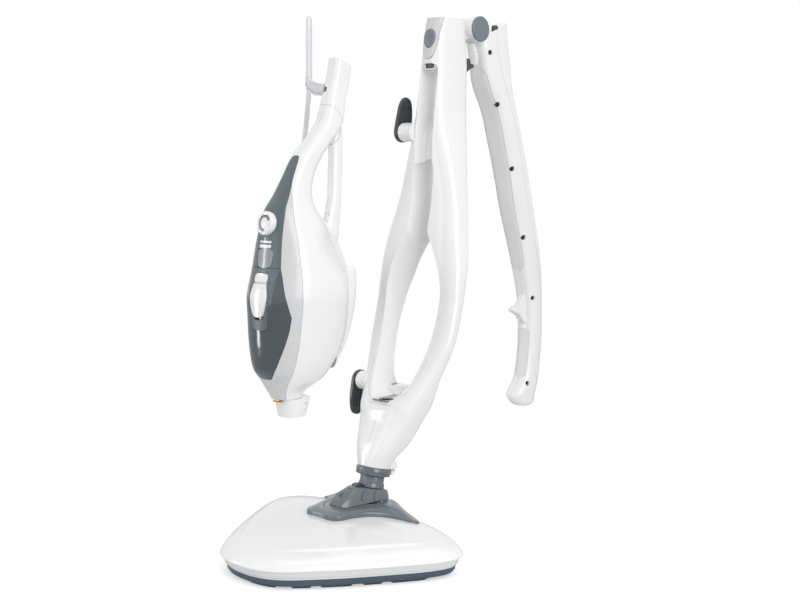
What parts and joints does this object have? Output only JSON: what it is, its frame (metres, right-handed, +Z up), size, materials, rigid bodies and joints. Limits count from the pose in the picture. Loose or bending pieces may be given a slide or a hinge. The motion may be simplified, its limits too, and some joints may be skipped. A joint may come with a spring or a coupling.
{
  "type": "steam mop",
  "caption": "Steam mop with a tilting, swivelling floor head, an open cradle frame with a folding handle, and a hand steam unit standing off in front of its seat.",
  "frame": {"origin": "on the floor under the neck, in the middle of the sole from side to side", "axes": "+Z up; +X to the right side of the mop; -Y to the front, where the hand unit docks; +Y to the back, where the handle folds"},
  "size_m": [0.3238, 0.533, 0.66],
  "materials": {
    "white_shell": "gloss",
    "pale_shell": "satin",
    "grey_plastic": "satin",
    "panel_slate": "satin",
    "sole_slate": "matte",
    "black_plastic": "satin",
    "smoky_tank": "clear tinted",
    "steel": "brushed",
    "brass_part": "satin",
    "seal_rubber": "matte",
    "circuit_green": "satin",
    "cord_pvc": "satin"
  },
  "bodies": {
    "head": {"head_cover": "white_shell", "sole_plate": "sole_slate", "base_tray": "pale_shell", "tilt_pin": "steel", "steam_spreader": "panel_slate", "saddle_cover": "grey_plastic"},
    "neck": {"neck_yoke": "grey_plastic", "neck_tube": "panel_slate", "neck_collar": "grey_plastic", "yoke_clip": "black_plastic"},
    "mast": {"mast_shell_right": "white_shell", "mast_shell_left": "white_shell", "button_bezel": "pale_shell", "button_spring": "steel", "steam_socket": "seal_rubber", "mast_steam_pipe": "panel_slate", "lower_hook": "black_plastic", "lower_hook_pin": "grey_plastic", "fold_catch": "black_plastic"},
    "button": {"release_button": "grey_plastic"},
    "bolt": {"latch_bolt": "black_plastic"},
    "cord_hook": {"upper_hook": "black_plastic", "upper_hook_pin": "grey_plastic"},
    "handle": {"handle_shell_right": "white_shell", "handle_shell_left": "white_shell", "handle_cover": "white_shell", "handle_screw_1": "steel", "handle_screw_2": "steel", "handle_screw_3": "steel", "handle_screw_4": "steel", "handle_screw_5": "steel", "handle_screw_6": "steel", "hinge_pin": "steel", "hinge_disc_right": "grey_plastic", "hinge_disc_left": "grey_plastic"},
    "hand_unit": {"hand_shell_right": "white_shell", "hand_shell_left": "white_shell", "front_fascia": "pale_shell", "rear_housing": "white_shell", "control_panel": "panel_slate", "level_window": "pale_shell", "circuit_board": "circuit_green", "cord_sleeve": "white_shell", "boiler": "steel", "pump": "black_plastic", "nozzle_pipe": "brass_part", "nozzle_stub": "white_shell", "front_jet": "brass_part", "strain_relief": "pale_shell", "cord_lead": "cord_pvc", "cord_coil": "cord_pvc", "cord_tie": "black_plastic", "cord_tail": "cord_pvc", "plug": "cord_pvc"},
    "dial": {"dial_knob": "white_shell", "dial_spindle": "steel"},
    "tank": {"water_tank": "smoky_tank", "tank_collar": "panel_slate", "tank_valve": "black_plastic"},
    "latch": {"tank_latch": "white_shell"}
  },
  "joints": [
    {"name": "neck_tilt", "type": "hinge", "parent": "head", "child": "neck", "pos_m": [0, -0.006, 0.046], "axis": [-1, 0, 0], "range_deg": [0, 50]},
    {"name": "neck_swivel", "type": "hinge", "parent": "neck", "child": "mast", "pos_m": [0, -0.006, 0.046], "axis": [0, 0.2164, 0.9763], "range_deg": [-50, 50]},
    {"name": "handle_fold", "type": "hinge", "parent": "mast", "child": "handle", "pos_m": [0, 0.177, 0.644], "axis": [1, 0, 0], "range_deg": [0, 158]},
    {"name": "dock", "type": "slide", "parent": "mast", "child": "hand_unit", "axis": [0, 1, 0], "range_m": [0, 0.152]},
    {"name": "release_press", "type": "slide", "parent": "mast", "child": "button", "axis": [0, 1, 0], "range_m": [0, 0.003], "stiffness_N_per_m": 900, "deforming": ["button_spring"]},
    {"name": "bolt_lift", "type": "slide", "parent": "mast", "child": "bolt", "axis": [0, 0, 1], "range_m": [0, 0.003]},
    {"name": "hook_turn", "type": "hinge", "parent": "mast", "child": "cord_hook", "pos_m": [-0.0438, 0.099, 0.51242], "axis": [1, 0, 0], "range_deg": [0, 180]},
    {"name": "dial_turn", "type": "hinge", "parent": "hand_unit", "child": "dial", "pos_m": [0, -0.15836, 0.40448], "axis": [0, -0.9848, 0.1736], "range_deg": [-135, 135]},
    {"name": "tank_pull", "type": "slide", "parent": "hand_unit", "child": "tank", "axis": [0, -1, 0], "range_m": [0, 0.06]},
    {"name": "latch_slide", "type": "slide", "parent": "tank", "child": "latch", "axis": [0, -0.1483, -0.9889], "range_m": [0, 0.003], "stiffness_N_per_m": 300}
  ],
  "couplings": [
    {"joint": "bolt_lift", "follows": "release_press", "ratio": 1}
  ]
}
